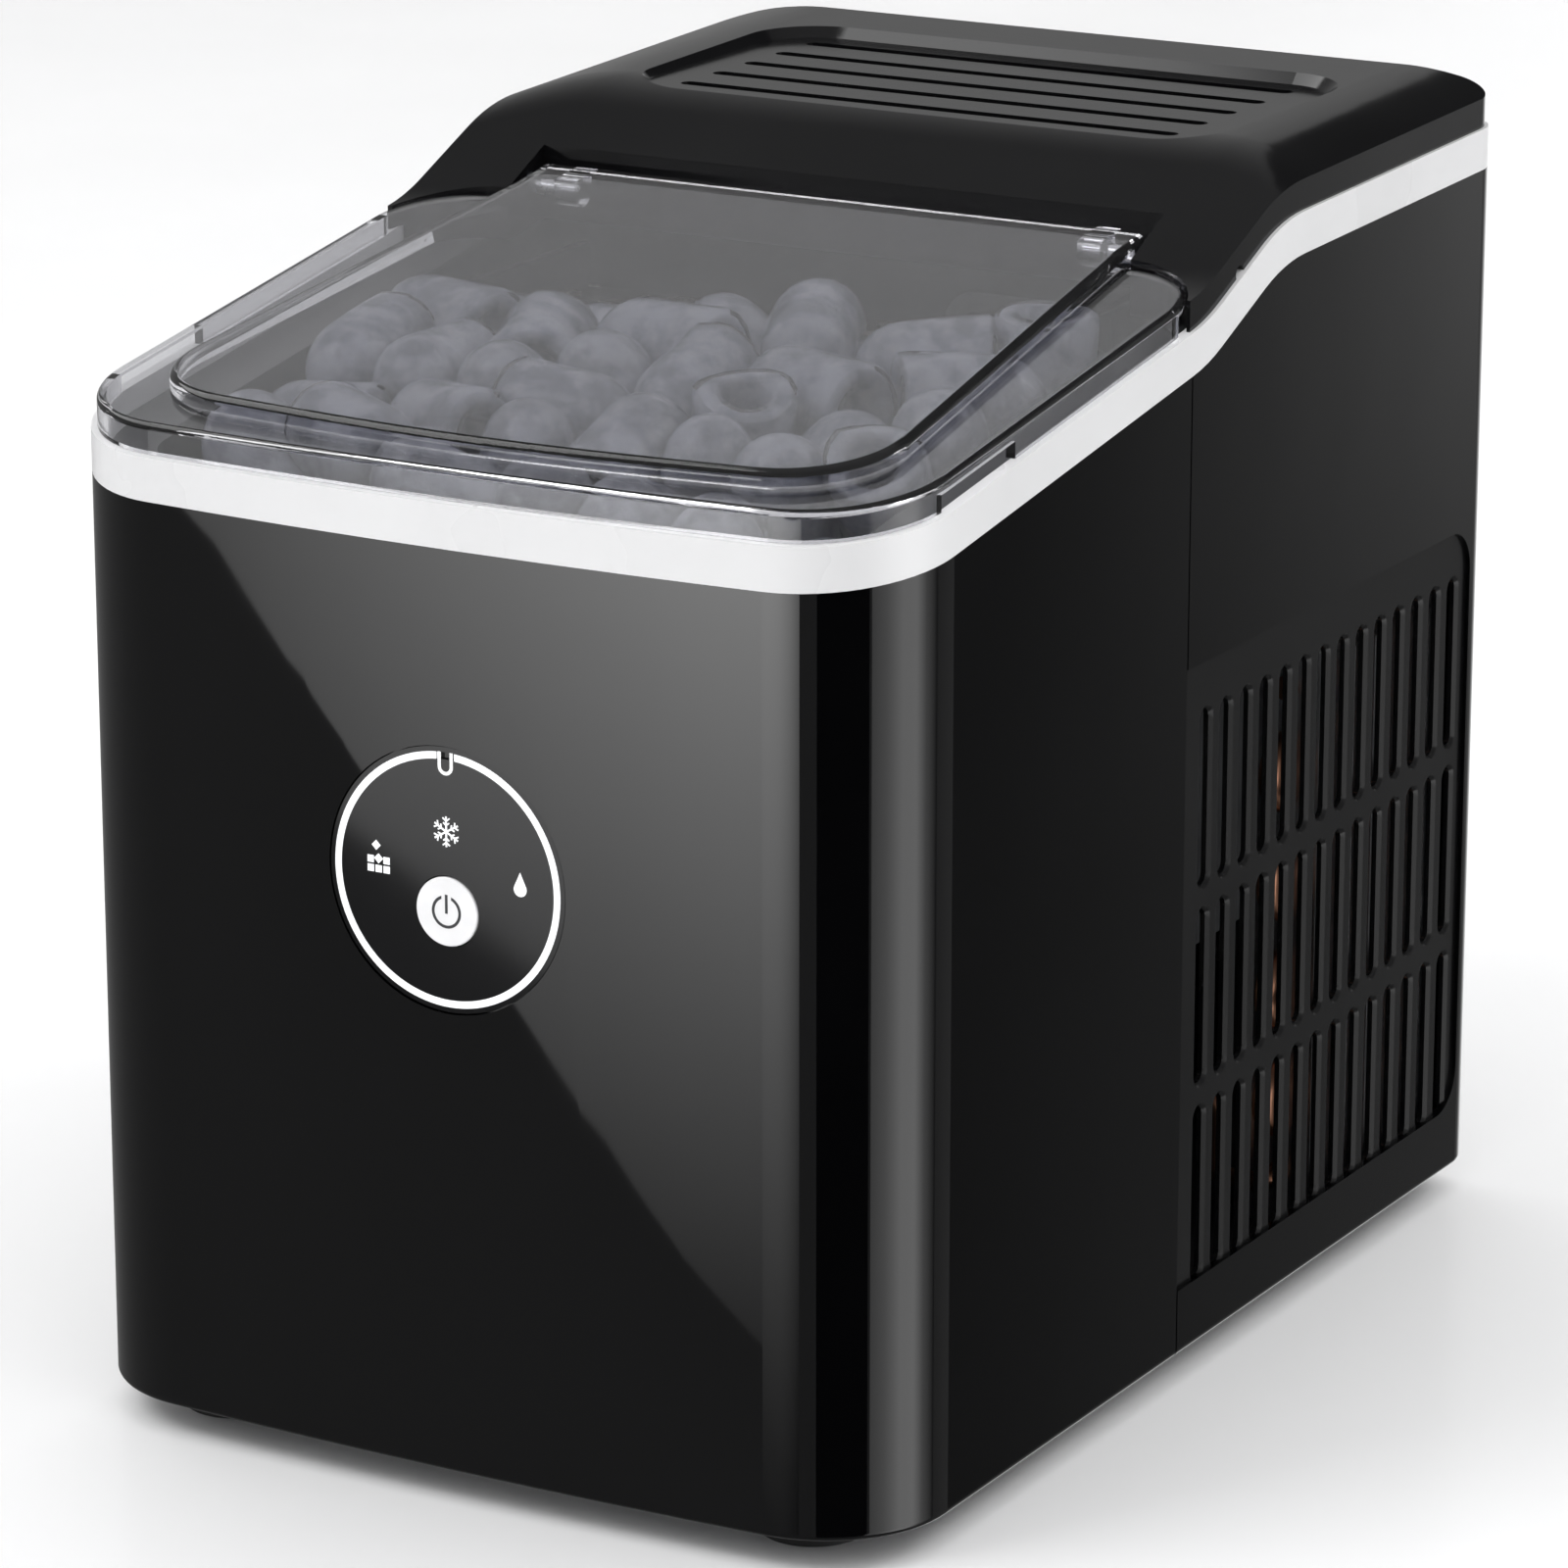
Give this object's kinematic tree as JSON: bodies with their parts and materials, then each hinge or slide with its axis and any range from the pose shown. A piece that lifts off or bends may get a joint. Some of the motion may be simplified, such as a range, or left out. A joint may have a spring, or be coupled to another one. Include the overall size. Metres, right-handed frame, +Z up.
{
  "type": "ice maker",
  "caption": "Countertop bullet-ice maker with a sloped smoked lid, silver trim band, dial control panel, louvred sides and the ice basket, tilting tray and refrigeration inside.",
  "frame": {"origin": "middle of the footprint, on the surface that the feet stand on", "axes": "+Z up, -Y towards the person facing the control dial, +X to that person's right, +Y to the rear"},
  "size_m": [0.224, 0.324, 0.2958],
  "materials": {
    "gloss_black": "high-gloss moulded black",
    "satin_black": "satin moulded black",
    "trim_silver": "bright satin silver coating",
    "smoked_clear": "smoke-tinted clear plastic",
    "steel_pin": "polished steel",
    "dial_black": "gloss black window",
    "print_white": "white print, softly lit",
    "button_white": "pearl silver-white plastic",
    "print_grey": "dark grey print",
    "rubber_black": "matt rubber",
    "board_green": "lacquered circuit board",
    "tub_grey": "satin dark grey moulding",
    "foam": "foam block",
    "basket_plastic": "translucent grey moulding",
    "tray_white": "white moulding",
    "nickel": "nickel-plated copper",
    "copper": "bright copper tube",
    "aluminium": "thin aluminium sheet",
    "compressor_black": "gloss enamel",
    "hose_clear": "milky silicone",
    "white_plastic": "white moulding",
    "zinc_steel": "zinc-plated steel"
  },
  "bodies": {
    "machine": {"front_shell": "gloss_black", "rear_shell": "gloss_black", "vent_panel_left": "satin_black", "vent_panel_right": "satin_black", "vent_panel_rear": "satin_black", "base_pan": "satin_black", "foot_front_left": "rubber_black", "foot_front_right": "rubber_black", "foot_rear_left": "rubber_black", "foot_rear_right": "rubber_black", "trim_band": "trim_silver", "top_cover": "gloss_black", "control_dial": "dial_black", "dial_ring": "print_white", "dial_notch_mark": "print_white", "snowflake_icon": "print_white", "ice_cubes_icon": "print_white", "water_drop_icon": "print_white", "control_board": "board_green", "board_posts": "satin_black", "button_switch": "satin_black", "inner_tub": "tub_grey", "foam_insulation": "foam", "evaporator_frame": "tub_grey", "evaporator": "nickel", "ice_fingers": "nickel", "ice_chute": "tub_grey", "tray_gearmotor": "white_plastic", "water_pump": "satin_black", "pump_hose": "hose_clear", "water_level_sensor": "white_plastic", "ice_full_sensors": "satin_black", "compressor": "compressor_black", "compressor_mounts": "rubber_black", "condenser_fins": "aluminium", "condenser_tube": "copper", "fan_shroud": "satin_black", "fan_motor": "zinc_steel", "filter_drier": "copper", "hot_gas_valve": "nickel", "discharge_tube": "copper", "liquid_tube": "copper", "suction_tube": "copper", "board_bracket": "zinc_steel", "power_board": "board_green", "power_inlet": "satin_black", "drain_tube": "hose_clear", "drain_port": "satin_black", "base_screws": "zinc_steel"},
    "lid": {"lid": "smoked_clear", "lid_hinge_pins": "steel_pin"},
    "power_button": {"power_button": "button_white", "power_symbol": "print_grey"},
    "water_tray": {"water_tray": "tray_white", "tray_pins": "steel_pin"},
    "ice_shovel": {"ice_shovel": "tray_white"},
    "fan_rotor": {"fan_rotor": "satin_black"},
    "drain_plug": {"drain_plug": "rubber_black"},
    "ice_basket": {"ice_basket": "basket_plastic"}
  },
  "joints": [
    {"name": "lid_hinge", "type": "hinge", "parent": "machine", "child": "lid", "pos_m": [0, 0.014, 0.27151], "axis": [-1, 0, 0], "range_deg": [0, 85]},
    {"name": "power_press", "type": "slide", "parent": "machine", "child": "power_button", "axis": [0, 1, 0], "range_m": [0, 0.0012], "stiffness_N_per_m": 900},
    {"name": "tray_tilt", "type": "hinge", "parent": "machine", "child": "water_tray", "pos_m": [0, 0.016, 0.226], "axis": [1, 0, 0], "range_deg": [0, 85]},
    {"name": "shovel_swing", "type": "hinge", "parent": "machine", "child": "ice_shovel", "pos_m": [0, 0.016, 0.226], "axis": [1, 0, 0], "range_deg": [-102, 0]},
    {"name": "fan_spin", "type": "hinge", "parent": "machine", "child": "fan_rotor", "pos_m": [0, 0.112, 0.096], "axis": [1, 0, 0], "continuous": true},
    {"name": "drain_pull", "type": "slide", "parent": "machine", "child": "drain_plug", "axis": [0, 1, 0], "range_m": [0, 0.012]},
    {"name": "basket_lift", "type": "slide", "parent": "machine", "child": "ice_basket", "axis": [0, 0, 1], "range_m": [0, 0.005]}
  ],
  "couplings": [
    {"joint": "shovel_swing", "follows": "tray_tilt", "ratio": -1.2}
  ]
}
